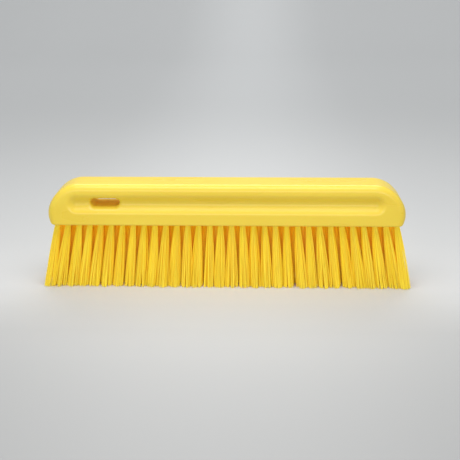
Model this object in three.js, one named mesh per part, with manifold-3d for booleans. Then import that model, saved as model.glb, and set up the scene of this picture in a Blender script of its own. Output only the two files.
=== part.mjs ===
// Block brush with a long plastic block and three rows of filament tufts.
// Millimetres, +Z up. The origin is on the standing plane, under the middle of the brush:
// the cut ends of the tufts are the plane z = 0, the length runs along X, the front faces -Y.
import * as THREE from "three";
import { mergeVertices } from "three/addons/utils/BufferGeometryUtils.js";
import Module from "manifold-3d";

const wasm = await Module();
wasm.setup();

// ---- driving dimensions -------------------------------------------------
const BLOCK_LENGTH = 300; // over the rounded ends
const BLOCK_DEPTH = 34; // front face to back face
const BLOCK_HEIGHT = 35; // underside to top
const UNDERSIDE_Z = 55.9; // free length of the filaments
const EDGE_ROUND = 6.2; // rounding of the long top edges and of the ends
const BOTTOM_EDGE = 1; // bevel of the underside's edge
const WIDEST_Z = 9.2; // above the underside, where the ends are widest
const END_TAPER = 1.2; // how much the ends draw in below the widest height
const CORNER_LENGTH = 27; // of the large end corners, along X
const CORNER_UP = 11.4; // handles of the end corners' curve
const CORNER_IN = 15.7;

const GRIP_CENTRE_Z = 18.7; // above the underside
const GRIP_DEPTH = 4.4; // finger groove, on the front and on the back
const GRIP_NOSE = 8; // section of the groove's cutter: half an ellipse, this deep
const GRIP_RISE = 7.2; // and this high above and below its core
const GRIP_CORE = 0.6;
const GRIP_STRAIGHT = 125.8; // half the straight length of the groove

const SLOT_X = -101.6; // hanging slot
const SLOT_Z = 18.8; // above the underside
const SLOT_LENGTH = 24.5;
const SLOT_HEIGHT = 7.8;

const TUFTS_OUTER = 32; // tufts in the front row and in the back row
const TUFTS_MIDDLE = 31; // the middle row is staggered by half a pitch
const TUFT_PITCH = 9.25;
const ROW_PITCH = 8.2;
const LEAN_END = 10.5; // degrees, of the end tufts, outwards along X
const LEAN_ROW = 3; // degrees, of the outer rows, outwards along Y
const HOLE_R = 2.5;
const HOLE_DEPTH = 12;
const ROOT_R = 2.2; // of the folded bundle inside its hole
const ROOT_GAP = 0.3;
const TIP_R = 4.7; // of the spread bundle at the tips
const SIDES = 8;

// ---- solids -------------------------------------------------------------
function solid(geometry) {
  const g = (geometry.index ? geometry.toNonIndexed() : geometry).clone();
  for (const name of Object.keys(g.attributes))
    if (name !== "position") g.deleteAttribute(name);
  const merged = mergeVertices(g, 1e-4);
  return new wasm.Manifold(
    new wasm.Mesh({
      numProp: 3,
      vertProperties: merged.attributes.position.array,
      triVerts: new Uint32Array(merged.index.array),
    }),
  );
}

function geometryOf(manifold) {
  const m = manifold.getMesh();
  const n = m.numProp;
  const v = new Float32Array(m.numVert * 3);
  for (let i = 0; i < m.numVert; i++)
    v.set(m.vertProperties.subarray(i * n, i * n + 3), i * 3);
  const g = new THREE.BufferGeometry();
  g.setAttribute("position", new THREE.BufferAttribute(v, 3));
  g.setIndex(new THREE.BufferAttribute(new Uint32Array(m.triVerts), 1));
  g.computeVertexNormals();
  return g;
}

// A shape drawn in X and Z, extruded along Y and centred on y = 0.
function extrudeAlongY(shape, depth, bevel = {}) {
  const full = { bevelEnabled: false, curveSegments: 10, ...bevel };
  const g = new THREE.ExtrudeGeometry(shape, { depth, ...full });
  g.translate(0, 0, -depth / 2);
  g.rotateX(Math.PI / 2);
  return g;
}

function stadium(halfStraight, radius) {
  const s = new THREE.Shape();
  s.moveTo(-halfStraight, -radius);
  s.lineTo(halfStraight, -radius);
  s.absarc(halfStraight, 0, radius, -Math.PI / 2, Math.PI / 2, false);
  s.lineTo(-halfStraight, radius);
  s.absarc(-halfStraight, 0, radius, Math.PI / 2, (3 * Math.PI) / 2, false);
  return s;
}

// ---- tufts: place and direction -----------------------------------------
const deg = THREE.MathUtils.degToRad;
const HALF_ROW = ((TUFTS_OUTER - 1) / 2) * TUFT_PITCH;

// The point on the underside where a tuft leaves its hole, and its direction into the block.
function tuftAt(row, i) {
  const count = row === 0 ? TUFTS_MIDDLE : TUFTS_OUTER;
  const x = (i - (count - 1) / 2) * TUFT_PITCH;
  const mouth = new THREE.Vector3(x, row * ROW_PITCH, UNDERSIDE_Z);
  const up = new THREE.Vector3(
    -Math.tan(deg((LEAN_END * x) / HALF_ROW)),
    -Math.tan(deg(LEAN_ROW * row)),
    1,
  ).normalize();
  return { mouth, up };
}

// Turns a solid of revolution about +Y into one about the tuft's direction, with its y = 0 at the mouth.
function alongTuft(g, { mouth, up }) {
  g.rotateX(Math.PI / 2); // +Y becomes +Z
  const turn = new THREE.Quaternion().setFromUnitVectors(
    new THREE.Vector3(0, 0, 1),
    up,
  );
  g.applyQuaternion(turn);
  g.translate(mouth.x, mouth.y, mouth.z);
  return g;
}

function tuftSolid(place) {
  const free = UNDERSIDE_Z;
  const profile = [
    new THREE.Vector2(0, -free - 3),
    new THREE.Vector2(TIP_R, -free - 3),
    new THREE.Vector2(TIP_R - 0.05, -free + 4),
    new THREE.Vector2(TIP_R - 0.75, -free * 0.62),
    new THREE.Vector2(ROOT_R, -1),
    new THREE.Vector2(ROOT_R, HOLE_DEPTH - ROOT_GAP),
    new THREE.Vector2(0, HOLE_DEPTH - ROOT_GAP),
  ];
  return solid(alongTuft(new THREE.LatheGeometry(profile, SIDES), place));
}

const below = solid(
  new THREE.BoxGeometry(400, 100, 40).translate(0, 0, -20),
);

// Neighbouring tufts whose filaments run into each other at the tips make one solid.
function tuftGroup(row, first, count) {
  let made = null;
  for (let i = first; i < first + count; i++) {
    const here = tuftAt(row, i);
    const one = tuftSolid(here);
    made = made ? made.add(one) : one;
    if (i > first) {
      const tip = (p) =>
        p.mouth.clone().addScaledVector(p.up, -UNDERSIDE_Z / p.up.z);
      const a = tip(tuftAt(row, i - 1));
      const b = tip(here);
      const link = new THREE.BoxGeometry(b.x - a.x, 5, 12);
      link.translate((a.x + b.x) / 2, (a.y + b.y) / 2, 2);
      made = made.add(solid(link));
    }
  }
  return made.subtract(below);
}

// ---- block --------------------------------------------------------------
const HALF = BLOCK_LENGTH / 2;

function blockOutline() {
  // Ends: large soft corners above, a slight taper below; it runs on past the underside and is cut there.
  const s = new THREE.Shape();
  const low = -12;
  const taper = END_TAPER * (1 - low / WIDEST_Z);
  s.moveTo(-HALF + taper, low);
  s.lineTo(HALF - taper, low);
  s.lineTo(HALF - END_TAPER, 0);
  s.bezierCurveTo(
    HALF - 0.2, 3.9,
    HALF, 6,
    HALF, WIDEST_Z,
  );
  s.bezierCurveTo(
    HALF, WIDEST_Z + CORNER_UP,
    HALF - CORNER_LENGTH + CORNER_IN, BLOCK_HEIGHT,
    HALF - CORNER_LENGTH, BLOCK_HEIGHT,
  );
  s.lineTo(-HALF + CORNER_LENGTH, BLOCK_HEIGHT);
  s.bezierCurveTo(
    -HALF + CORNER_LENGTH - CORNER_IN, BLOCK_HEIGHT,
    -HALF, WIDEST_Z + CORNER_UP,
    -HALF, WIDEST_Z,
  );
  s.bezierCurveTo(
    -HALF, 6,
    -HALF + 0.2, 3.9,
    -HALF + END_TAPER, 0,
  );
  s.closePath();
  return s;
}

function undersideTrim() {
  const s = new THREE.Shape();
  s.moveTo(-146.6, 0);
  s.lineTo(146.6, 0);
  s.lineTo(148.3, 0.9);
  s.lineTo(149.4, 3);
  s.lineTo(160, 16);
  s.lineTo(160, 60);
  s.lineTo(-160, 60);
  s.lineTo(-160, 16);
  s.lineTo(-149.4, 3);
  s.lineTo(-148.3, 0.9);
  s.closePath();
  return s;
}

function blockSolid() {
  const body = solid(
    extrudeAlongY(blockOutline(), BLOCK_DEPTH - 2 * EDGE_ROUND, {
      bevelEnabled: true,
      bevelThickness: EDGE_ROUND,
      bevelSize: EDGE_ROUND,
      bevelOffset: -EDGE_ROUND,
      bevelSegments: 4,
      curveSegments: 9,
    }),
  );
  const trim = solid(
    extrudeAlongY(undersideTrim(), BLOCK_DEPTH - 2 * BOTTOM_EDGE, {
      bevelEnabled: true,
      bevelThickness: BOTTOM_EDGE + 0.02,
      bevelSize: BOTTOM_EDGE,
      bevelOffset: -BOTTOM_EDGE,
      bevelSegments: 1,
    }),
  );
  let made = body.intersect(trim);

  const groove = extrudeAlongY(stadium(GRIP_STRAIGHT, GRIP_CORE), 10, {
    bevelEnabled: true,
    bevelThickness: GRIP_NOSE,
    bevelSize: GRIP_RISE,
    bevelOffset: 0,
    bevelSegments: 5,
    curveSegments: 7,
  });
  const reach = BLOCK_DEPTH / 2 - GRIP_DEPTH + GRIP_NOSE + 5;
  for (const side of [-1, 1]) {
    const cutter = groove.clone().translate(0, side * reach, GRIP_CENTRE_Z);
    made = made.subtract(solid(cutter));
  }
  const slot = extrudeAlongY(
    stadium((SLOT_LENGTH - SLOT_HEIGHT) / 2, SLOT_HEIGHT / 2),
    BLOCK_DEPTH + 20,
    { curveSegments: 8 },
  ).translate(SLOT_X, 0, SLOT_Z);
  made = made.subtract(solid(slot)).translate([0, 0, UNDERSIDE_Z]);

  // One blind hole for each tuft, drilled along the tuft.
  for (const row of [-1, 0, 1]) {
    const count = row === 0 ? TUFTS_MIDDLE : TUFTS_OUTER;
    for (let i = 0; i < count; i++) {
      const profile = [
        new THREE.Vector2(0, -3),
        new THREE.Vector2(HOLE_R, -3),
        new THREE.Vector2(HOLE_R, HOLE_DEPTH),
        new THREE.Vector2(0, HOLE_DEPTH),
      ];
      const hole = alongTuft(
        new THREE.LatheGeometry(profile, SIDES),
        tuftAt(row, i),
      );
      made = made.subtract(solid(hole));
    }
  }
  return made;
}

// ---- materials ----------------------------------------------------------
const plastic = () =>
  new THREE.MeshStandardMaterial({
    color: 0xf2cf3c,
    roughness: 0.35,
    metalness: 0,
  });
const filament = () =>
  new THREE.MeshStandardMaterial({
    color: 0xf0bd26,
    roughness: 0.5,
    metalness: 0,
  });

// ---- assembly -----------------------------------------------------------
const brush = new THREE.Group();
brush.name = "block_brush";

function place(parent, name, made, material) {
  const mesh = new THREE.Mesh(geometryOf(made), material);
  mesh.name = name;
  parent.add(mesh);
  return mesh;
}

place(brush, "block", blockSolid(), plastic());

const two = (n) => String(n).padStart(2, "0");

// Front row: each tuft by itself.
const frontRow = new THREE.Group();
for (let i = 0; i < TUFTS_OUTER; i++)
  place(frontRow, `tuft_front_${two(i + 1)}`, tuftGroup(-1, i, 1), filament());
brush.add(frontRow);

// Middle row: threes, and one group of four at the end.
const middleRow = new THREE.Group();
for (let i = 0; i + 3 <= TUFTS_MIDDLE; i += 3) {
  const count = TUFTS_MIDDLE - i < 6 ? TUFTS_MIDDLE - i : 3;
  place(
    middleRow,
    `tufts_middle_${two(i + 1)}_${two(i + count)}`,
    tuftGroup(0, i, count),
    filament(),
  );
  if (count > 3) break;
}
brush.add(middleRow);

// Back row: pairs.
const backRow = new THREE.Group();
for (let i = 0; i < TUFTS_OUTER; i += 2)
  place(
    backRow,
    `tufts_back_${two(i + 1)}_${two(i + 2)}`,
    tuftGroup(1, i, 2),
    filament(),
  );
brush.add(backRow);

export default brush;
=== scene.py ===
import math

import bpy
import numpy as np
from mathutils import Matrix, Vector


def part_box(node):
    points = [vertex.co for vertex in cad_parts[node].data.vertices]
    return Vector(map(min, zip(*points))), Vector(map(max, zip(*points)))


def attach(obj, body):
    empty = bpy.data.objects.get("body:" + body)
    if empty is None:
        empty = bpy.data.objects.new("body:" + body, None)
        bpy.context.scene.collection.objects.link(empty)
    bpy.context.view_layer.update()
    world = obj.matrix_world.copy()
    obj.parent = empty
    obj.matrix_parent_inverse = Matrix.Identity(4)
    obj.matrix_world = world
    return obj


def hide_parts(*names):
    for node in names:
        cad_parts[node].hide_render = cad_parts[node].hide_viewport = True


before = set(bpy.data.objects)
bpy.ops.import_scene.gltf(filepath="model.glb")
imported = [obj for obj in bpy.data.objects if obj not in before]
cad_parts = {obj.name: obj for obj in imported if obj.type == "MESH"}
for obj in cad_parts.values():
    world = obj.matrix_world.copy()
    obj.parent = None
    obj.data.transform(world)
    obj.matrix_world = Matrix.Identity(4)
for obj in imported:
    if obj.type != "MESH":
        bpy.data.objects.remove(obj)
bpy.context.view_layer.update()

RNG = np.random.default_rng(20731)
MM = 0.001

# ---- the frame's own dimensions, in mm ----------------------------------
lo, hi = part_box("block")
LO, HI = np.array(lo) / MM, np.array(hi) / MM
HALF = (HI[0] - LO[0]) / 2  # half the block's length
DEPTH = HI[1] - LO[1]
HEIGHT = HI[2] - LO[2]
UNDER = LO[2]  # the underside

# the tufts' grid, as in the CAD
OUTER, MIDDLE = 32, 31
TUFT_PITCH, ROW_PITCH = 9.25, 8.2
LEAN_END, LEAN_ROW = 10.5, 3.0
HOLE_R, HOLE_DEPTH = 2.5, 12.0
HALF_ROW = (OUTER - 1) / 2 * TUFT_PITCH


def tuft_at(row, i):
    count = MIDDLE if row == 0 else OUTER
    x = (i - (count - 1) / 2) * TUFT_PITCH
    mouth = np.array([x, row * ROW_PITCH, UNDER])
    up = np.array(
        [
            -math.tan(math.radians(LEAN_END * x / HALF_ROW)),
            -math.tan(math.radians(LEAN_ROW * row)),
            1.0,
        ]
    )
    return mouth, up / np.linalg.norm(up)


TUFTS = [(row, i) for row in (-1, 0, 1) for i in range(MIDDLE if row == 0 else OUTER)]


# ---- mesh helpers -------------------------------------------------------
def mesh_object(name, verts_mm, quads, smooth=True):
    me = bpy.data.meshes.new(name)
    verts = np.asarray(verts_mm, np.float64) * MM
    quads = np.asarray(quads, np.int32)
    sides = quads.shape[1]
    me.vertices.add(len(verts))
    me.vertices.foreach_set("co", verts.ravel())
    me.loops.add(quads.size)
    me.loops.foreach_set("vertex_index", quads.ravel())
    me.polygons.add(len(quads))
    me.polygons.foreach_set("loop_start", np.arange(0, quads.size, sides, dtype=np.int32))
    me.update(calc_edges=True)
    me.polygons.foreach_set("use_smooth", np.full(len(quads), smooth))
    me.validate()
    ob = bpy.data.objects.new(name, me)
    bpy.context.scene.collection.objects.link(ob)
    return ob


# ---- the block as a distance field --------------------------------------
def bezier(p0, p1, p2, p3, n):
    t = np.linspace(0, 1, n)[:, None]
    p0, p1, p2, p3 = (np.array(p, float) for p in (p0, p1, p2, p3))
    return (1 - t) ** 3 * p0 + 3 * (1 - t) ** 2 * t * p1 + 3 * (1 - t) * t**2 * p2 + t**3 * p3


WIDEST, TAPER, CORNER = 9.2, 1.2, 27.0


def outline():
    """Right half of the block's side view, running on below the underside."""
    low = -12.0
    pts = [np.array([[0.0, low], [HALF - TAPER * (1 - low / WIDEST), low]])]
    pts.append(bezier((HALF - TAPER, 0), (HALF - 0.2, 3.9), (HALF, 6), (HALF, WIDEST), 24))
    pts.append(
        bezier(
            (HALF, WIDEST),
            (HALF, WIDEST + 11.4),
            (HALF - CORNER + 15.7, HEIGHT),
            (HALF - CORNER, HEIGHT),
            90,
        )[1:]
    )
    pts.append(np.array([[0.0, HEIGHT]]))
    return np.vstack(pts)


def trim():
    """Right half of what is left of the underside's corners."""
    pts = [np.array([[0.0, 0.0], [HALF - 6.0, 0.0]])]
    pts.append(
        bezier((HALF - 4.8, 0), (HALF - 2.3, 0.05), (HALF - 1.1, 1.1), (HALF - 0.45, 3.9), 24)
    )
    pts.append(np.array([[HALF + 12, 24.0], [HALF + 12, 80.0], [0.0, 80.0]]))
    return np.vstack(pts)


def field_of(poly, xs, zs):
    """Signed distance to the polygon mirrored in x = 0, on a grid of x >= 0."""
    p = np.vstack([poly, poly[::-1] * [-1, 1]])
    keep = np.r_[True, np.linalg.norm(np.diff(p, axis=0), axis=1) > 1e-9]
    p = p[keep]
    a, b = p, np.roll(p, -1, axis=0)
    ok = np.linalg.norm(b - a, axis=1) > 1e-9
    a, b = a[ok], b[ok]
    X, Z = np.meshgrid(xs, zs, indexing="ij")
    q = np.stack([X.ravel(), Z.ravel()], 1)
    best = np.full(len(q), 1e9)
    inside = np.zeros(len(q), bool)
    for s, e in zip(a, b):
        d = e - s
        t = np.clip(((q - s) @ d) / (d @ d), 0, 1)
        best = np.minimum(best, ((q - s - t[:, None] * d) ** 2).sum(1))
        cross = (s[1] > q[:, 1]) != (e[1] > q[:, 1])
        if d[1] != 0:
            inside ^= cross & (q[:, 0] < d[0] * (q[:, 1] - s[1]) / d[1] + s[0])
    return (np.sqrt(best) * np.where(inside, -1, 1)).reshape(X.shape)


STEP2 = 0.25
FX = np.arange(0, HALF + 4 + STEP2, STEP2)
FZ = np.arange(-4, HEIGHT + 4 + STEP2, STEP2)
BODY2, TRIM2 = field_of(outline(), FX, FZ), field_of(trim(), FX, FZ)


def look_up(table, x, z):
    u = np.clip((np.abs(x) - FX[0]) / STEP2, 0, len(FX) - 1.001)
    v = np.clip((z - FZ[0]) / STEP2, 0, len(FZ) - 1.001)
    i, j = u.astype(int), v.astype(int)
    u, v = u - i, v - j
    return (
        table[i, j] * (1 - u) * (1 - v)
        + table[i + 1, j] * u * (1 - v)
        + table[i, j + 1] * (1 - u) * v
        + table[i + 1, j + 1] * u * v
    )


def smooth_max(a, b, k):
    h = np.clip(0.5 + 0.5 * (a - b) / k, 0, 1)
    return b * (1 - h) + a * h + k * h * (1 - h)


ROUND = 5.7  # of the top edges and the ends
GROOVE_Z, GROOVE_HALF, GROOVE_DEPTH, GROOVE_STRAIGHT = 18.5, 9.0, 4.3, 125.0
SLOT_X, SLOT_Z, SLOT_R, SLOT_STRAIGHT = -101.6, 19.0, 3.6, 8.5
HOLES = [tuft_at(row, i) for row, i in TUFTS]


def hole_field(x, y, z, mouth, up):
    """z is above the underside here."""
    p = np.stack([x - mouth[0], y - mouth[1], z], -1)
    t = p @ up
    radial = np.sqrt(np.maximum((p**2).sum(-1) - t**2, 0))
    return np.maximum(np.maximum(radial - HOLE_R, -3 - t), t - HOLE_DEPTH)


def block_field(x, y, z, holes=None):
    d2 = look_up(BODY2, x, z)
    dy = np.abs(y) - DEPTH / 2
    qa, qb = d2 + ROUND, dy + ROUND
    d = np.minimum(np.maximum(qa, qb), 0) + np.hypot(np.maximum(qa, 0), np.maximum(qb, 0)) - ROUND
    d = smooth_max(d, look_up(TRIM2, x, z), 1.6)
    # finger grooves: a bell-shaped hollow with round ends
    r = np.hypot(np.maximum(np.abs(x) - GROOVE_STRAIGHT, 0), z - GROOVE_Z)
    bell = np.cos(math.pi / 2 * np.minimum(r / GROOVE_HALF, 1)) ** 2
    d = np.maximum(d, (np.abs(y) - DEPTH / 2 + GROOVE_DEPTH * bell) / 1.15)
    # hanging slot
    sx = np.maximum(np.abs(x - SLOT_X) - SLOT_STRAIGHT, 0)
    s = np.hypot(sx, z - SLOT_Z) - SLOT_R
    d = smooth_max(d, -s, 2.8)
    # tuft holes
    near = z < HOLE_DEPTH + 1.5
    if near.any():
        xs, ys, zs, ds = x[near], y[near], z[near], d[near]
        for n, (mouth, up) in enumerate(HOLES):
            c = np.abs(xs - mouth[0]) < 6.2
            c &= np.abs(ys - mouth[1]) < 4.6
            if c.any():
                h = hole_field(xs[c], ys[c], zs[c], mouth, up)
                ds[c] = smooth_max(ds[c], -h, 0.3)
        d[near] = ds
    return d


def axis(stops):
    """Grid lines through the stops [(from, to, step), ...]."""
    out = [stops[0][0]]
    for a, b, step in stops:
        n = max(1, round((b - a) / step))
        out.extend(np.linspace(a, b, n + 1)[1:])
    return np.array(out)


def surface_net(field, xs, ys, zs):
    X, Y, Z = np.meshgrid(xs, ys, zs, indexing="ij")
    F = field(X.ravel(), Y.ravel(), Z.ravel()).reshape(X.shape)
    F[F == 0] = 1e-9
    nx, ny, nz = F.shape
    total = np.zeros((nx - 1, ny - 1, nz - 1, 3))
    count = np.zeros((nx - 1, ny - 1, nz - 1))
    corners = [(i, j, k) for i in (0, 1) for j in (0, 1) for k in (0, 1)]
    base = (xs, ys, zs)

    def at(c):
        i, j, k = c
        return F[i : nx - 1 + i, j : ny - 1 + j, k : nz - 1 + k]

    for c in corners:
        for ax in range(3):
            if c[ax]:
                continue
            e = list(c)
            e[ax] = 1
            a, b = at(c), at(e)
            cut = (a < 0) != (b < 0)
            t = np.where(cut, a / np.where(cut, a - b, 1), 0)
            where = []
            for m in range(3):
                lines = base[m]
                start = lines[c[m] : len(lines) - 1 + c[m]]
                shape = [1, 1, 1]
                shape[m] = -1
                w = np.broadcast_to(start.reshape(shape), a.shape)
                if m == ax:
                    w = w + t * np.diff(lines).reshape(shape)
                where.append(w)
            total += np.where(cut[..., None], np.stack(where, -1), 0)
            count += cut
    used = count > 0
    index = np.full(used.shape, -1)
    index[used] = np.arange(used.sum())
    verts = total[used] / count[used][:, None]
    quads = []
    I, J, K = np.meshgrid(np.arange(nx), np.arange(ny), np.arange(nz), indexing="ij")
    for ax in range(3):
        a = F.take(range(F.shape[ax] - 1), axis=ax)
        b = F.take(range(1, F.shape[ax]), axis=ax)
        cut = (a < 0) != (b < 0)
        i, j, k = np.nonzero(cut)
        flip = (a < 0)[i, j, k]
        p = [i, j, k]
        u, v = [(1, 2), (2, 0), (0, 1)][ax]
        ok = (p[u] > 0) & (p[v] > 0)
        ring = []
        for du, dv in ((-1, -1), (0, -1), (0, 0), (-1, 0)):
            q = [c.copy() for c in p]
            q[u] = q[u] + du
            q[v] = q[v] + dv
            inside = ok & (q[u] < used.shape[u]) & (q[v] < used.shape[v])
            ok &= inside
            ring.append(q)
        four = np.stack([index[q[0][ok], q[1][ok], q[2][ok]] for q in ring], 1)
        turn = ~flip[ok]
        four[turn] = four[turn][:, ::-1]
        quads.append(four)
    return verts, np.vstack(quads)


def gradient(field, p, h=0.02):
    g = np.empty_like(p)
    for m in range(3):
        a, b = p.copy(), p.copy()
        a[:, m] -= h
        b[:, m] += h
        g[:, m] = (field(*b.T) - field(*a.T)) / (2 * h)
    return g


def project(field, p, steps=3, reach=0.5):
    for _ in range(steps):
        g = gradient(field, p)
        f = field(*p.T)
        move = -(f / np.maximum((g**2).sum(1), 0.25))[:, None] * g
        size = np.linalg.norm(move, axis=1, keepdims=True)
        p = p + move * np.minimum(1, reach / np.maximum(size, 1e-9))
    return p


def build_block():
    half = HALF + 1.5
    wide = DEPTH / 2 + 1.2
    xs = axis([(-half, half, 1.02)])
    ys = axis([(-wide, -11.5, 0.66), (-11.5, 11.5, 0.92), (11.5, wide, 0.66)])
    zs = axis([(-1.2, 3.0, 0.6), (3.0, HEIGHT + 1.2, 0.82)])
    verts, quads = surface_net(block_field, xs, ys, zs)
    # evened out along the surface, then put back on it
    a, b = quads.ravel(), np.roll(quads, -1, axis=1).ravel()
    deg = np.bincount(a, minlength=len(verts)) + np.bincount(b, minlength=len(verts))
    verts = project(block_field, verts, 2)
    for _ in range(2):
        mean = np.zeros_like(verts)
        for m in range(3):
            mean[:, m] = np.bincount(a, verts[b, m], len(verts)) + np.bincount(
                b, verts[a, m], len(verts)
            )
        mean /= deg[:, None]
        # only where the surface is smooth: the rims of the holes stay put
        still = (verts[:, 2] < HOLE_DEPTH + 0.6) & (np.abs(verts[:, 1]) < DEPTH / 2 - 1.5)
        still &= np.abs(verts[:, 0]) < HALF - 2
        verts = np.where(still[:, None], verts, 0.5 * verts + 0.5 * mean)
        verts = project(block_field, verts, 1)
    verts[:, 2] += UNDER
    ob = mesh_object("block_body", verts, quads)
    # how deep a point lies inside the slot, 0 outside it; it masks the slot's painted shade and its duller finish
    sx = np.maximum(np.abs(verts[:, 0] - SLOT_X) - SLOT_STRAIGHT, 0)
    r = np.hypot(sx, verts[:, 2] - UNDER - SLOT_Z)
    inside = np.clip((13.2 - np.abs(verts[:, 1])) / 2.4, 0, 1) * (r < SLOT_R + 1.0)
    at = ob.data.attributes.new("inside", "FLOAT", "POINT")
    at.data.foreach_set("value", inside.astype(np.float32))
    ob.data.set_sharp_from_angle(angle=math.radians(38))
    return ob


# ---- materials ----------------------------------------------------------
def new_material(name):
    m = bpy.data.materials.new(name)
    m.use_nodes = True
    nt = m.node_tree
    return m, nt, nt.nodes["Principled BSDF"]


def node(nt, kind, **values):
    n = nt.nodes.new(kind)
    for k, v in values.items():
        if k in n.inputs:
            n.inputs[k].default_value = v
        else:
            setattr(n, k, v)
    return n


def block_material():
    m, nt, p = new_material("block_plastic")
    link = nt.links.new
    co = nt.nodes.new("ShaderNodeTexCoord")
    # broad, faint flow marks of the moulding
    flow = node(nt, "ShaderNodeMapping")
    flow.inputs["Scale"].default_value = (9, 34, 34)
    link(co.outputs["Object"], flow.inputs["Vector"])
    broad = node(nt, "ShaderNodeTexNoise", Scale=1.0, Detail=3.0, Roughness=0.55)
    link(flow.outputs["Vector"], broad.inputs["Vector"])
    ramp = nt.nodes.new("ShaderNodeValToRGB")
    ramp.color_ramp.elements[0].position = 0.3
    ramp.color_ramp.elements[0].color = (0.755, 0.54, 0.044, 1)
    ramp.color_ramp.elements[1].position = 0.7
    ramp.color_ramp.elements[1].color = (0.79, 0.59, 0.056, 1)
    link(broad.outputs["Fac"], ramp.inputs["Fac"])
    # the slot's inner walls: painted shade, a deeper and more saturated colour that stands in for light bounced
    # about inside the slot; and less polished
    inside = node(nt, "ShaderNodeAttribute", attribute_name="inside")
    slot_painted_shade = nt.nodes.new("ShaderNodeMix")
    slot_painted_shade.data_type = "RGBA"
    link(inside.outputs["Fac"], slot_painted_shade.inputs[0])
    link(ramp.outputs["Color"], slot_painted_shade.inputs[6])
    slot_painted_shade.inputs[7].default_value = (0.89, 0.645, 0.03, 1)
    link(slot_painted_shade.outputs[2], p.inputs["Base Color"])
    # fine satin of the mould's surface
    fine = node(nt, "ShaderNodeTexNoise", Scale=1500.0, Detail=2.0, Roughness=0.6)
    link(co.outputs["Object"], fine.inputs["Vector"])
    rough = nt.nodes.new("ShaderNodeMapRange")
    rough.inputs["From Min"].default_value = 0.3
    rough.inputs["From Max"].default_value = 0.7
    rough.inputs["To Min"].default_value = 0.25
    rough.inputs["To Max"].default_value = 0.32
    link(broad.outputs["Fac"], rough.inputs["Value"])
    duller = nt.nodes.new("ShaderNodeMath")
    duller.operation = "MULTIPLY_ADD"
    link(inside.outputs["Fac"], duller.inputs[0])
    duller.inputs[1].default_value = 0.5
    link(rough.outputs["Result"], duller.inputs[2])
    link(duller.outputs[0], p.inputs["Roughness"])
    bump = node(nt, "ShaderNodeBump", Strength=0.05, Distance=0.0002)
    link(fine.outputs["Fac"], bump.inputs["Height"])
    link(bump.outputs["Normal"], p.inputs["Normal"])
    p.inputs["IOR"].default_value = 1.49
    p.inputs["Subsurface Weight"].default_value = 0.12
    p.inputs["Subsurface Radius"].default_value = (1.0, 0.55, 0.12)
    p.inputs["Subsurface Scale"].default_value = 0.003
    return m


def filament_material():
    m, nt, p = new_material("filament")
    link = nt.links.new
    # painted shade of the tufts, set per vertex in build_tuft
    painted_shade_and_tone = node(nt, "ShaderNodeAttribute", attribute_name="painted_shade_and_tone")
    ramp = nt.nodes.new("ShaderNodeValToRGB")
    ramp.color_ramp.elements[0].position = 0.0
    ramp.color_ramp.elements[0].color = (1.0, 0.81, 0.002, 1)
    ramp.color_ramp.elements[1].position = 1.0
    ramp.color_ramp.elements[1].color = (0.95, 0.785, 0.058, 1)
    ramp.color_ramp.elements.new(0.5).color = (0.99, 0.80, 0.030, 1)
    link(painted_shade_and_tone.outputs["Fac"], ramp.inputs["Fac"])
    # painted glow: the red of deep filaments is raised above 1, so they give back a little more red light than
    # falls on them, standing in for red light passed on through the translucent filaments
    painted_glow = nt.nodes.new("ShaderNodeMapRange")
    painted_glow.inputs["From Min"].default_value = 0.0
    painted_glow.inputs["From Max"].default_value = 0.8
    painted_glow.inputs["To Min"].default_value = 1.085
    painted_glow.inputs["To Max"].default_value = 1.0
    link(painted_shade_and_tone.outputs["Fac"], painted_glow.inputs["Value"])
    gain = nt.nodes.new("ShaderNodeCombineXYZ")
    gain.inputs[1].default_value = 1.0
    gain.inputs[2].default_value = 1.0
    link(painted_glow.outputs["Result"], gain.inputs[0])
    product = nt.nodes.new("ShaderNodeVectorMath")
    product.operation = "MULTIPLY"
    link(ramp.outputs["Color"], product.inputs[0])
    link(gain.outputs["Vector"], product.inputs[1])
    link(product.outputs["Vector"], p.inputs["Base Color"])
    p.inputs["Roughness"].default_value = 0.42
    p.inputs["IOR"].default_value = 1.49
    p.inputs["Specular IOR Level"].default_value = 0.35
    return m


def anchor_material():
    m, nt, p = new_material("anchor_steel")
    link = nt.links.new
    co = nt.nodes.new("ShaderNodeTexCoord")
    drawn = node(nt, "ShaderNodeMapping")
    drawn.inputs["Scale"].default_value = (300, 4000, 4000)
    link(co.outputs["Object"], drawn.inputs["Vector"])
    noise = node(nt, "ShaderNodeTexNoise", Scale=1.0, Detail=2.0)
    link(drawn.outputs["Vector"], noise.inputs["Vector"])
    ramp = nt.nodes.new("ShaderNodeValToRGB")
    ramp.color_ramp.elements[0].color = (0.42, 0.42, 0.43, 1)
    ramp.color_ramp.elements[1].color = (0.66, 0.66, 0.67, 1)
    link(noise.outputs["Fac"], ramp.inputs["Fac"])
    link(ramp.outputs["Color"], p.inputs["Base Color"])
    p.inputs["Metallic"].default_value = 1.0
    p.inputs["Roughness"].default_value = 0.35
    return m


# ---- tufts --------------------------------------------------------------
FILAMENTS = 48  # folded filaments in a tuft, so twice as many ends
FILAMENT_R = 0.2
SIDES = 4


def frame_of(up):
    side = np.array([1.0, 0, 0]) - up * up[0]
    side /= np.linalg.norm(side)
    return side, np.cross(up, side)


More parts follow.
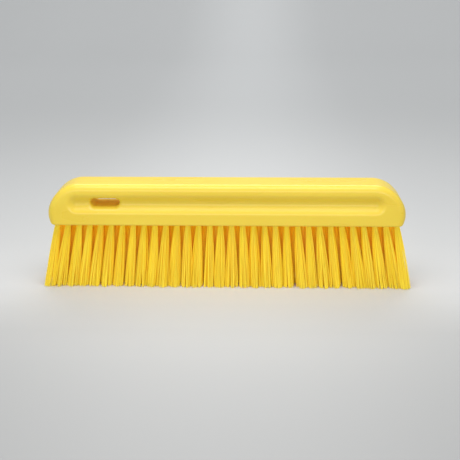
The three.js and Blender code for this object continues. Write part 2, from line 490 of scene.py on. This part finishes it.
def build_tuft(name, row, i):
    """Folded filaments: two legs each, over the anchor at the hole's bottom."""
    rng = np.random.default_rng(9000 + 100 * (row + 1) + i)
    mouth, up = tuft_at(row, i)
    side, across = frame_of(up)
    n = FILAMENTS
    # legs sit on a sunflower disc in the hole, one leg each side of the anchor
    k = np.arange(2 * n) + 0.5
    rho = np.sqrt(k / (2 * n)) * 1.98
    theta = k * 2.399963 + rng.uniform(0, 6.28)
    px, py = rho * np.cos(theta), rho * np.sin(theta)
    order = np.argsort(py)
    low, high = order[:n], order[n:]
    low, high = low[np.argsort(px[low])], high[np.argsort(px[high])]
    a = np.stack([px[low], py[low]], 1)
    b = np.stack([px[high], py[high]], 1)
    # where the tuft's own tips end up: its lean, with a little of its own
    free = UNDER
    sway = rng.normal(0, 1, 2) * [0.6, 0.45]
    sway[0] -= 0.6 * (mouth[0] / HALF_ROW) ** 9  # the end tufts keep closer to their lean
    swell = rng.uniform(0.88, 1.1)
    knots = rng.uniform(0, 1, (15, 2))  # the ends draw together into small bunches
    knots = np.stack(
        [
            np.sqrt(knots[:, 0]) * 5.0 * swell * np.cos(6.2832 * knots[:, 1]),
            np.sqrt(knots[:, 0]) * 5.0 * swell * np.sin(6.2832 * knots[:, 1]),
        ],
        1,
    )
    twist = rng.normal(0, 0.10)

    def leg(root):
        m = len(root)
        r = np.hypot(root[:, 0], root[:, 1])
        ang = np.arctan2(root[:, 1], root[:, 0]) + twist
        reach = 5.35 * swell * (r / 1.98) ** 0.9
        tip = np.stack([np.cos(ang), np.sin(ang)], 1) * reach[:, None]
        nearest = knots[np.argmin(((tip[:, None] - knots[None]) ** 2).sum(2), axis=1)]
        draw = (nearest - tip) * rng.uniform(0.15, 0.6, (m, 1))
        tip += rng.normal(0, 0.3, (m, 2)) + sway
        bow = rng.normal(0, 0.22, (m, 2))
        end = np.minimum(rng.exponential(0.28, m), 1.3) + 0.02  # trimmed, some a little short
        ts = np.array([0.0, 0.07, 0.2, 0.4, 0.62, 0.82, 1.0])
        path = []
        for t in ts:
            spread = 1 - (1 - t) ** 1.4
            late = np.clip((t - 0.35) / 0.65, 0, 1) ** 1.5
            at = root * (1 - spread) + tip * spread + bow * (4 * t * (1 - t)) + draw * late
            down = -t  # along the tuft, ended on the trim plane below
            path.append((at, down))
        pts = np.empty((m, len(ts), 3))
        for c, (at, down) in enumerate(path):
            off = at[:, :1] * side + at[:, 1:] * across
            # length so that the end lies at its own height over the floor
            length = (mouth[2] + off[:, 2] - end) / up[2]
            pts[:, c] = mouth + off + (down * length)[:, None] * up
        return pts

    la, lb = leg(a), leg(b)
    # inside the hole: straight up, then a bend over the anchor
    depth = HOLE_DEPTH - 1.9 - rng.uniform(0, 0.7, n)
    ina = mouth + a[:, :1] * side + a[:, 1:] * across + depth[:, None] * up
    inb = mouth + b[:, :1] * side + b[:, 1:] * across + depth[:, None] * up
    top = (ina + inb) / 2 + np.minimum(0.25 + 0.4 * np.linalg.norm(ina - inb, axis=1), 1.35)[:, None] * up
    qa, qb = (ina * 0.75 + top * 0.25 + (top - (ina + inb) / 2) * 0.55, inb * 0.75 + top * 0.25 + (top - (ina + inb) / 2) * 0.55)
    line = np.concatenate(
        [la[:, ::-1], ina[:, None], qa[:, None], top[:, None], qb[:, None], inb[:, None], lb], 1
    )
    m, segs = line.shape[0], line.shape[1]
    tangent = np.gradient(line, axis=1)
    tangent /= np.linalg.norm(tangent, axis=2, keepdims=True)
    ref = np.broadcast_to(across, tangent.shape)
    ref = ref + 0.3 * side
    e1 = np.cross(tangent, ref)
    small = np.linalg.norm(e1, axis=2, keepdims=True) < 0.2
    e1 = np.where(small, np.cross(tangent, side), e1)
    # carried along so that the section does not flip
    for c in range(1, segs):
        v = e1[:, c - 1] - (e1[:, c - 1] * tangent[:, c]).sum(1, keepdims=True) * tangent[:, c]
        e1[:, c] = v
    e1 /= np.linalg.norm(e1, axis=2, keepdims=True)
    e2 = np.cross(tangent, e1)
    radius = FILAMENT_R * rng.uniform(0.93, 1.07, m)
    spin = rng.uniform(0, 6.28, m)
    ring = np.empty((m, segs, SIDES, 3))
    for s in range(SIDES):
        ang = spin + 2 * math.pi * s / SIDES
        ring[:, :, s] = line + radius[:, None, None] * (
            np.cos(ang)[:, None, None] * e1 + np.sin(ang)[:, None, None] * e2
        )
    # cut ends are level with the floor
    for c in (0, segs - 1):
        level = line[:, c, 2]
        slope = tangent[:, c]
        gap = (level[:, None] - ring[:, c, :, 2]) / slope[:, None, 2]
        ring[:, c] += gap[..., None] * slope[:, None]
    verts = ring.reshape(-1, 3)
    idx = np.arange(m * segs * SIDES).reshape(m, segs, SIDES)
    nxt = np.roll(idx, -1, axis=2)
    walls = np.stack([idx[:, :-1], nxt[:, :-1], nxt[:, 1:], idx[:, 1:]], -1).reshape(-1, 4)
    cap0 = idx[:, 0, ::-1]
    cap1 = idx[:, -1]
    quads = np.vstack([walls, cap0, cap1])
    ob = mesh_object(name, verts, quads, smooth=False)
    me = ob.data
    # painted shade: paler on the brush's outside, deeper inside the rows and near the roots, standing in for
    # light passed many times through the filaments; each filament also differs a little at random
    off = line - mouth
    off = off - (off @ up)[..., None] * up
    along = np.clip((mouth[2] - line[:, :, 2]) / mouth[2], 0, 1)
    outer = (off @ across) * row / (2.0 + 2.6 * along)
    if row == 0:
        painted_shade_and_tone = np.minimum(1.7 * along, 0.85)
    else:
        outer = np.clip(outer, -1, 1)
        painted_shade_and_tone = 0.36 + 0.44 * outer + (0.35 - 0.2 * outer) * along
    painted_shade_and_tone = np.clip(painted_shade_and_tone + rng.normal(0, 0.07, m)[:, None], 0, 1)
    painted_shade_and_tone = np.broadcast_to(painted_shade_and_tone[..., None], (m, segs, SIDES)).ravel()
    at = me.attributes.new("painted_shade_and_tone", "FLOAT", "POINT")
    at.data.foreach_set("value", painted_shade_and_tone.astype(np.float32))
    # a strip of the map for each filament
    uv = me.uv_layers.new(name="OFBake")
    walls_uv = np.empty((m, segs - 1, SIDES, 4, 2))
    f = np.arange(m)[:, None, None]
    g = np.arange(segs - 1)[None, :, None]
    s = np.arange(SIDES)[None, None, :]
    u0 = (f * SIDES + s) / (m * SIDES) + 0 * g
    u1 = (f * SIDES + s + 1) / (m * SIDES) + 0 * g
    v0 = g / (segs + 1.0) + 0 * u0
    v1 = (g + 1) / (segs + 1.0) + 0 * u0
    walls_uv[..., 0, 0], walls_uv[..., 0, 1] = u0, v0
    walls_uv[..., 1, 0], walls_uv[..., 1, 1] = u1, v0
    walls_uv[..., 2, 0], walls_uv[..., 2, 1] = u1, v1
    walls_uv[..., 3, 0], walls_uv[..., 3, 1] = u0, v1
    caps = []
    for row_of in (0, 1):
        c = np.empty((m, 4, 2))
        x0 = np.arange(m) / m
        x1 = (np.arange(m) + 1) / m
        y0 = (segs - 0.8 + 0.9 * row_of) / (segs + 1.0)
        y1 = y0 + 0.8 / (segs + 1.0)
        c[:, 0] = np.stack([x0, np.full(m, y0)], 1)
        c[:, 1] = np.stack([x1, np.full(m, y0)], 1)
        c[:, 2] = np.stack([x1, np.full(m, y1)], 1)
        c[:, 3] = np.stack([x0, np.full(m, y1)], 1)
        caps.append(c)
    both = np.concatenate([walls_uv.reshape(-1, 2), caps[0].reshape(-1, 2), caps[1].reshape(-1, 2)])
    uv.data.foreach_set("uv", both.astype(np.float32).ravel())
    return ob


def build_anchors():
    """A flat wire across the bottom of each hole, bevelled along its edges."""
    verts, quads = [], []
    half_l, half_h, half_t, b = 2.35, 0.95, 0.2, 0.07
    for row, i in TUFTS:
        mouth, up = tuft_at(row, i)
        side, across = frame_of(up)
        centre = mouth + up * (HOLE_DEPTH - 2.2)
        section = [
            (-half_t, -half_h + b), (-half_t + b, -half_h), (half_t - b, -half_h), (half_t, -half_h + b),
            (half_t, half_h - b), (half_t - b, half_h), (-half_t + b, half_h), (-half_t, half_h - b),
        ]
        start = len(verts)
        for x, shrink in ((-half_l, 0.8), (-half_l + b, 1.0), (half_l - b, 1.0), (half_l, 0.8)):
            for t, h in section:
                verts.append(centre + side * x + across * t * shrink + up * h * shrink)
        for c in range(3):
            for k in range(8):
                n = (k + 1) % 8
                quads.append([start + c * 8 + k, start + c * 8 + n, start + c * 8 + 8 + n, start + c * 8 + 8 + k])
        for c, flip in ((0, True), (3, False)):
            ring = [start + c * 8 + k for k in range(8)]
            four = [[ring[0], ring[1], ring[2], ring[3]], [ring[3], ring[4], ring[7], ring[0]], [ring[4], ring[5], ring[6], ring[7]]]
            quads.extend([q[::-1] if flip else q for q in four])
    return mesh_object("anchor_wires", verts, quads, smooth=False)


# ---- the object ---------------------------------------------------------
BLOCK_MAT, FILAMENT_MAT, ANCHOR_MAT = block_material(), filament_material(), anchor_material()

block = build_block()
block.data.materials.append(BLOCK_MAT)
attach(block, "root")
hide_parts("block")


def cad_node(row, i):
    if row < 0:
        return f"tuft_front_{i + 1:02d}"
    if row > 0:
        a = i // 2 * 2
        return f"tufts_back_{a + 1:02d}_{a + 2:02d}"
    a = min(i // 3 * 3, 27)
    return f"tufts_middle_{a + 1:02d}_{(31 if a == 27 else a + 3):02d}"


NAMES = {-1: "front", 0: "middle", 1: "back"}
for row, i in TUFTS:
    tuft = build_tuft(f"filaments_{NAMES[row]}_{i + 1:02d}", row, i)
    tuft.data.materials.append(FILAMENT_MAT)
    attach(tuft, "root")
    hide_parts(cad_node(row, i))

anchors = build_anchors()
anchors.data.materials.append(ANCHOR_MAT)
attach(anchors, "root")


# ---- floor, light, camera -----------------------------------------------
def build_floor():
    front, back, radius, top = -4000.0, 1500.0, 1200.0, 3600.0
    profile = [(front, 0.0), (back, 0.0)]
    for k in range(1, 25):
        a = k / 24 * math.pi / 2
        profile.append((back + radius * math.sin(a), radius * (1 - math.cos(a))))
    profile.append((back + radius, top))
    verts, quads = [], []
    for y, z in profile:
        verts += [(-5000.0, y, z - 0.05), (5000.0, y, z - 0.05)]
    for k in range(len(profile) - 1):
        quads.append([2 * k, 2 * k + 1, 2 * k + 3, 2 * k + 2])
    ob = mesh_object("floor", verts, quads)
    m, nt, p = new_material("floor")
    # a sweep with a painted pool of light: paler under, around and behind the object, darker in front of it and
    # to its sides
    link = nt.links.new
    co = nt.nodes.new("ShaderNodeTexCoord")
    xyz = nt.nodes.new("ShaderNodeSeparateXYZ")
    link(co.outputs["Object"], xyz.inputs["Vector"])

    def ramp_of(source, start, end, stops):
        span = nt.nodes.new("ShaderNodeMapRange")
        span.inputs["From Min"].default_value = start
        span.inputs["From Max"].default_value = end
        link(source, span.inputs["Value"])
        ramp = nt.nodes.new("ShaderNodeValToRGB")
        ramp.color_ramp.interpolation = "B_SPLINE"
        e = ramp.color_ramp.elements
        while len(e) < len(stops):
            e.new(0.5)
        for k, (at, v) in enumerate(stops):
            e[k].position = (at - start) / (end - start)
            e[k].color = (v, v, v, 1)
        link(span.outputs["Result"], ramp.inputs["Fac"])
        return ramp.outputs["Color"]

    away = nt.nodes.new("ShaderNodeMath")
    away.operation = "ABSOLUTE"
    link(xyz.outputs["X"], away.inputs[0])
    depth = ramp_of(
        xyz.outputs["Y"],
        -4.0,
        3.5,
        [(-4.0, 0.56), (-1.2, 0.53), (-0.5, 0.41), (-0.25, 0.425), (-0.1, 0.47), (-0.03, 0.68), (0.1, 0.61), (0.5, 0.55), (1.0, 0.535), (3.5, 0.59)],
    )
    width = ramp_of(away.outputs[0], 0.0, 1.2, [(0.0, 1.0), (0.08, 0.98), (0.2, 0.83), (0.5, 0.86), (1.2, 0.93)])
    both = nt.nodes.new("ShaderNodeMix")
    both.data_type = "RGBA"
    both.blend_type = "MULTIPLY"
    both.inputs[0].default_value = 1.0
    link(depth, both.inputs[6])
    link(width, both.inputs[7])
    link(both.outputs[2], p.inputs["Base Color"])
    p.inputs["Roughness"].default_value = 0.8
    p.inputs["Specular IOR Level"].default_value = 0.2
    ob.data.materials.append(m)


build_floor()


def area(name, size_x, size_y, watts, at, to, colour=(1, 1, 1)):
    lamp = bpy.data.lights.new(name, "AREA")
    lamp.shape = "RECTANGLE"
    lamp.size, lamp.size_y = size_x, size_y
    lamp.energy = watts
    lamp.color = colour
    ob = bpy.data.objects.new(name, lamp)
    ob.location = at
    ob.rotation_euler = (Vector(to) - Vector(at)).to_track_quat("-Z", "Y").to_euler()
    bpy.context.scene.collection.objects.link(ob)
    return ob


area("key", 0.5, 0.25, 1.5, (0.0, -0.16, 0.5), (0, 0, 0.0), (1.0, 0.99, 0.97))
area("top", 0.8, 0.3, 1.2, (0.0, 0.35, 0.6), (0, 0.1, 0.0), (1.0, 1.0, 0.99))
area("front", 1.4, 0.4, 4.6, (0.0, -1.15, 0.28), (0, 0, 0.03), (1.0, 1.0, 1.0))
area("backdrop", 1.6, 0.9, 11.5, (0.0, 1.4, 1.4), (0, 1.3, 0), (0.97, 0.99, 1.0))

world = bpy.data.worlds.new("studio")
bpy.context.scene.world = world
world.use_nodes = True
world.node_tree.nodes["Background"].inputs["Color"].default_value = (0.955, 0.985, 1.0, 1)
world.node_tree.nodes["Background"].inputs["Strength"].default_value = 0.72

F_PX, DIST, ELEV, YAW, ROLL = 885.9, 760.2, 18.2, 2.02, -0.30
TARGET = np.array([2.94, 0.0, 47.25])


def build_camera():
    e, a, r = (math.radians(v) for v in (ELEV, YAW, ROLL))
    back = np.array([math.sin(a) * math.cos(e), -math.cos(a) * math.cos(e), math.sin(e)])
    right = np.cross([0, 0, 1], back)
    right /= np.linalg.norm(right)
    up = np.cross(back, right)
    right, up = math.cos(r) * right + math.sin(r) * up, -math.sin(r) * right + math.cos(r) * up
    data = bpy.data.cameras.new("camera")
    data.sensor_width = 36.0
    data.lens = F_PX * 36.0 / 460.0
    data.clip_end = 50
    ob = bpy.data.objects.new("camera", data)
    where = (TARGET + back * DIST) * MM
    ob.matrix_world = Matrix(
        [
            [right[0], up[0], back[0], where[0]],
            [right[1], up[1], back[1], where[1]],
            [right[2], up[2], back[2], where[2]],
            [0, 0, 0, 1],
        ]
    )
    bpy.context.scene.collection.objects.link(ob)
    bpy.context.scene.camera = ob


build_camera()

scene = bpy.context.scene
scene.view_settings.view_transform = "Standard"
scene.view_settings.look = "None"
scene.cycles.max_bounces = 32
scene.cycles.diffuse_bounces = 28
scene.cycles.use_denoising = True
